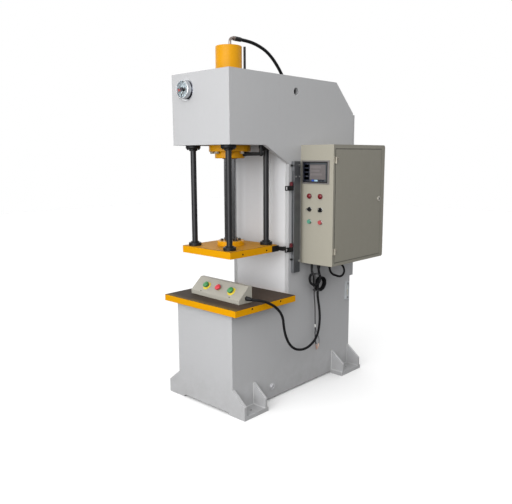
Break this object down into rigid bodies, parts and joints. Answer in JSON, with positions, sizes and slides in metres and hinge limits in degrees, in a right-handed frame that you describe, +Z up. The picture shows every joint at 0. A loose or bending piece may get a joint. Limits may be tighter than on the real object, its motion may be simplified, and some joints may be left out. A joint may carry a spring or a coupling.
{
  "type": "hydraulic press",
  "caption": "C-frame hydraulic press with a vertical cylinder, a platen on guide columns, a work table, a side control cabinet and a two-hand control box.",
  "frame": {"origin": "bottom centre of the box around the whole press without its loose cables, on the floor", "axes": "+X to the press's right as seen from its operator, +Y from the operator to the back, +Z up along the ram"},
  "size_m": [0.873, 1.318, 2.2925],
  "materials": {
    "frame_paint": "satin light grey paint",
    "cover_paint": "satin grey paint",
    "machined_steel": "ground steel",
    "dark_steel": "blackened steel",
    "bolt_black": "black oxide",
    "bush_steel": "turned steel",
    "zinc_steel": "zinc plated",
    "gauge_chrome": "polished",
    "gauge_glass": "clear",
    "needle_black": "black lacquer",
    "needle_red": "red lacquer",
    "gauge_aluminium": "anodised",
    "rail_aluminium": "brushed",
    "sensor_plastic": "moulded",
    "cabinet_paint": "fine textured beige powder coat",
    "panel_plastic": "moulded",
    "screen_glass": "gloss",
    "bezel_chrome": "polished",
    "lamp_red": "gloss",
    "knob_black": "moulded",
    "button_green": "gloss",
    "button_red": "gloss",
    "gear_plastic": "moulded",
    "gland_plastic": "moulded",
    "console_paint": "satin light grey paint",
    "legend_yellow": "yellow",
    "chromed_rod": "polished hard chrome",
    "platen_paint": "gloss yellow-orange enamel",
    "black_rod": "polished black",
    "motor_paint": "enamel",
    "conduit_black": "ribbed plastic",
    "cable_rubber": "smooth",
    "hose_rubber": "smooth"
  },
  "bodies": {
    "frame": {"side_plate_left": "frame_paint", "side_plate_right": "frame_paint", "head_front_plate": "frame_paint", "head_bottom_plate": "frame_paint", "head_top_plate": "frame_paint", "throat_plate": "frame_paint", "base_front_plate": "frame_paint", "feet": "frame_paint", "tank_plates": "frame_paint", "rear_plates": "frame_paint", "rear_cover": "cover_paint", "work_table": "machined_steel", "cylinder_barrel": "platen_paint", "gland_flange": "platen_paint", "cylinder_bolts": "zinc_steel", "guide_bushes": "bush_steel", "hydraulic_fittings": "dark_steel", "gauge_case": "gauge_chrome", "gauge_glass": "gauge_glass", "level_gauge": "gauge_aluminium", "drain_plug": "zinc_steel", "sensor_rail": "rail_aluminium", "rail_bolts": "bolt_black", "control_cabinet": "cabinet_paint", "cabinet_hinges": "zinc_steel", "hmi_panel": "panel_plastic", "hmi_screen": "screen_glass", "switch_bezels": "bezel_chrome", "pilot_lamps": "lamp_red", "control_gear": "gear_plastic", "cable_glands": "gland_plastic", "console_housing": "console_paint", "button_plates": "legend_yellow", "power_unit": "motor_paint", "console_conduit": "conduit_black", "conduit_loops": "conduit_black", "supply_cable": "cable_rubber", "cabinet_conduit": "conduit_black", "pressure_hose": "hose_rubber"},
    "gauge_pointer": {"gauge_pointer": "needle_black"},
    "gauge_set_pointer": {"gauge_set_pointer": "needle_red"},
    "lower_sensor": {"lower_sensor": "sensor_plastic"},
    "upper_sensor": {"upper_sensor": "sensor_plastic"},
    "door": {"cabinet_door": "cabinet_paint", "door_hinge_leaves": "zinc_steel"},
    "lock": {"door_lock": "zinc_steel"},
    "selector_left": {"selector_left": "knob_black"},
    "selector_right": {"selector_right": "knob_black"},
    "start_button": {"start_button": "button_green"},
    "stop_button": {"stop_button": "button_red"},
    "console_button_left": {"console_button_left": "button_green"},
    "console_stop_button": {"console_stop_button": "button_red"},
    "console_button_right": {"console_button_right": "button_green"},
    "ram": {"piston_rod": "chromed_rod", "rod_coupling": "platen_paint", "platen": "platen_paint", "guide_rods": "black_rod", "rod_collars": "dark_steel", "striker_arm": "zinc_steel"},
    "motor_shaft": {"motor_shaft": "dark_steel"}
  },
  "joints": [
    {"name": "ram_stroke", "type": "slide", "parent": "frame", "child": "ram", "axis": [0, 0, 1], "range_m": [-0.13, 0.37]},
    {"name": "door_hinge", "type": "hinge", "parent": "frame", "child": "door", "pos_m": [0.4315, 0.043, 1.253], "axis": [0, 0, -1], "range_deg": [0, 110]},
    {"name": "door_lock_turn", "type": "hinge", "parent": "door", "child": "lock", "pos_m": [0.423, 0.5525, 1.276], "axis": [-1, 0, 0], "range_deg": [0, 90]},
    {"name": "start_button_push", "type": "slide", "parent": "frame", "child": "start_button", "axis": [0, 1, 0], "range_m": [0, 0.003], "stiffness_N_per_m": 700, "springref_m": -0.003},
    {"name": "stop_button_push", "type": "slide", "parent": "frame", "child": "stop_button", "axis": [0, 1, 0], "range_m": [0, 0.003], "stiffness_N_per_m": 700, "springref_m": -0.003},
    {"name": "selector_left_turn", "type": "hinge", "parent": "frame", "child": "selector_left", "pos_m": [0.241, 0.024, 1.228], "axis": [0, 1, 0], "range_deg": [0, 90]},
    {"name": "selector_right_turn", "type": "hinge", "parent": "frame", "child": "selector_right", "pos_m": [0.328, 0.024, 1.228], "axis": [0, 1, 0], "range_deg": [-90, 0]},
    {"name": "console_left_push", "type": "slide", "parent": "frame", "child": "console_button_left", "axis": [0.0302, 0.6763, -0.736], "range_m": [0, 0.005], "stiffness_N_per_m": 1000, "springref_m": -0.004},
    {"name": "console_stop_push", "type": "slide", "parent": "frame", "child": "console_stop_button", "axis": [0.0302, 0.6763, -0.736], "range_m": [0, 0.005], "stiffness_N_per_m": 1000, "springref_m": -0.004},
    {"name": "console_right_push", "type": "slide", "parent": "frame", "child": "console_button_right", "axis": [0.0302, 0.6763, -0.736], "range_m": [0, 0.005], "stiffness_N_per_m": 1000, "springref_m": -0.004},
    {"name": "gauge_pointer_turn", "type": "hinge", "parent": "frame", "child": "gauge_pointer", "pos_m": [-0.2, -0.631, 1.961], "axis": [0, 1, 0], "range_deg": [0, 270], "stiffness_Nm_per_rad": 0.002},
    {"name": "gauge_set_pointer_turn", "type": "hinge", "parent": "frame", "child": "gauge_set_pointer", "pos_m": [-0.2, -0.638, 1.961], "axis": [0, 1, 0], "range_deg": [-35, 235]},
    {"name": "upper_sensor_slide", "type": "slide", "parent": "frame", "child": "upper_sensor", "axis": [0, 0, 1], "range_m": [-0.15, 0.09]},
    {"name": "lower_sensor_slide", "type": "slide", "parent": "frame", "child": "lower_sensor", "axis": [0, 0, 1], "range_m": [-0.03, 0.15]},
    {"name": "motor_shaft_spin", "type": "hinge", "parent": "frame", "child": "motor_shaft", "pos_m": [-0.085, 0.264, 0.9], "axis": [0, 0, 1], "continuous": true}
  ]
}
